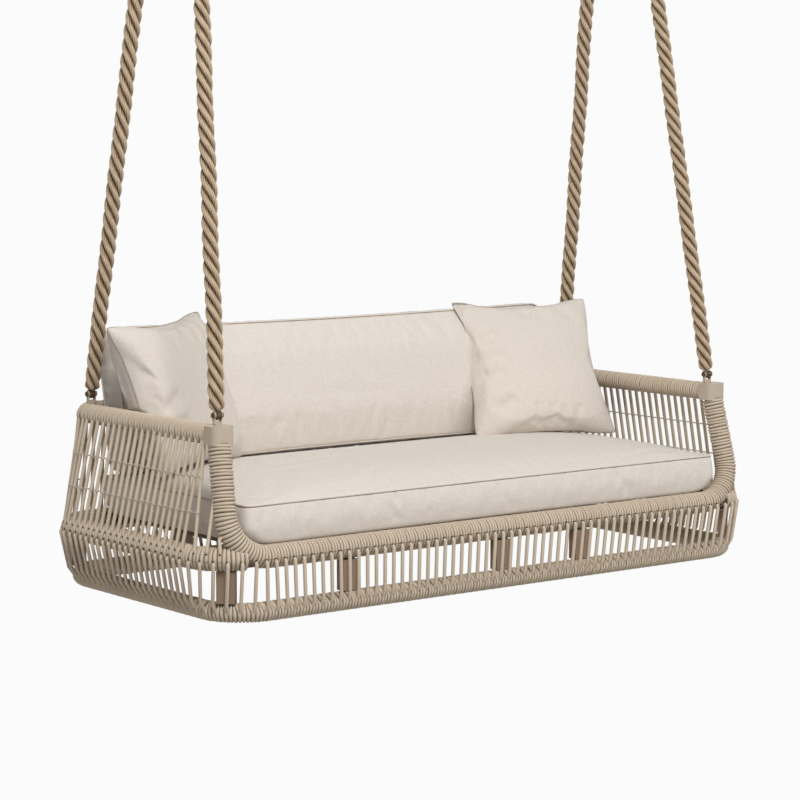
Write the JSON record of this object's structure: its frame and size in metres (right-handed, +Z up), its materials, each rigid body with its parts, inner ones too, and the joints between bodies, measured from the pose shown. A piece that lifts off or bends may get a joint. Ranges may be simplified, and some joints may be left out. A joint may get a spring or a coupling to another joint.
{
  "type": "hanging swing seat",
  "caption": "Hanging porch swing seat: cord-wrapped tube frame with cord panels, loose seat and back cushions and pillows, hung from the ceiling on thick twisted ropes.",
  "frame": {"origin": "on the ceiling face, at the centre of the rectangle of the four hanger studs", "axes": "+X along the seat to the sitter's left, -Y towards the open front, +Z up"},
  "size_m": [1.9998, 0.9106, 1.8809],
  "materials": {
    "frame_metal": "satin",
    "brown_tube": "satin",
    "deck_wood": "satin",
    "painted_hardware": "satin",
    "eye_metal": "satin",
    "wound_cord": "matte",
    "panel_cord": "matte",
    "hanging_rope": "matte",
    "linen": "matte",
    "pillow_linen": "matte"
  },
  "bodies": {
    "hangers": {"ceiling_hangers": "painted_hardware", "hanger_pins": "painted_hardware"},
    "front_ropes": {"front_rope_left": "hanging_rope", "front_rope_right": "hanging_rope", "front_lower_eyes": "eye_metal", "front_upper_eyes": "eye_metal"},
    "back_ropes": {"back_rope_left": "hanging_rope", "back_rope_right": "hanging_rope", "back_lower_eyes": "eye_metal", "back_upper_eyes": "eye_metal"},
    "seat": {"front_frame": "frame_metal", "front_frame_wrap": "wound_cord", "front_posts": "frame_metal", "front_posts_wrap": "wound_cord", "seat_ring": "frame_metal", "seat_ring_wrap": "wound_cord", "base_ring": "frame_metal", "base_ring_wrap": "wound_cord", "arm_rail": "frame_metal", "arm_rail_wrap": "wound_cord", "corner_block_left": "painted_hardware", "corner_block_right": "painted_hardware", "base_uprights": "brown_tube", "rear_posts": "frame_metal", "deck_rails": "frame_metal", "deck_slats": "deck_wood", "skirt_cords_front": "panel_cord", "skirt_cords_back": "panel_cord", "skirt_cords_left": "panel_cord", "skirt_cords_right": "panel_cord", "skirt_cords_corners": "panel_cord", "arm_cords_left": "panel_cord", "arm_cords_right": "panel_cord", "back_cords": "panel_cord", "back_cords_corners": "panel_cord", "clevis_mounts": "painted_hardware", "front_clevises": "painted_hardware", "back_clevises": "painted_hardware", "front_clevis_pins": "painted_hardware", "back_clevis_pins": "painted_hardware", "seat_cushion": "linen", "back_cushion": "linen"},
    "pillow_left": {"pillow_left": "pillow_linen"},
    "pillow_right": {"pillow_right": "pillow_linen"}
  },
  "joints": [
    {"name": "front_rope_swing", "type": "hinge", "parent": "hangers", "child": "front_ropes", "pos_m": [0, -0.147, -0.05], "axis": [1, 0, 0], "range_deg": [-12, 12]},
    {"name": "seat_swing", "type": "hinge", "parent": "front_ropes", "child": "seat", "pos_m": [0, -0.326, -1.275], "axis": [1, 0, 0], "range_deg": [-5.5, 5.5]},
    {"name": "back_rope_swing", "type": "hinge", "parent": "hangers", "child": "back_ropes", "pos_m": [0, 0.147, -0.05], "axis": [1, 0, 0], "range_deg": [-12.1, 12.1]},
    {"name": "pillow_left_lift", "type": "slide", "parent": "seat", "child": "pillow_left", "axis": [0, -0.6, 0.8], "range_m": [0, 0.25]},
    {"name": "pillow_right_lift", "type": "slide", "parent": "seat", "child": "pillow_right", "axis": [0, -0.6, 0.8], "range_m": [0, 0.25]}
  ],
  "couplings": [
    {"joint": "seat_swing", "follows": "front_rope_swing", "ratio": -0.4475},
    {"joint": "back_rope_swing", "follows": "front_rope_swing", "ratio": 1}
  ]
}
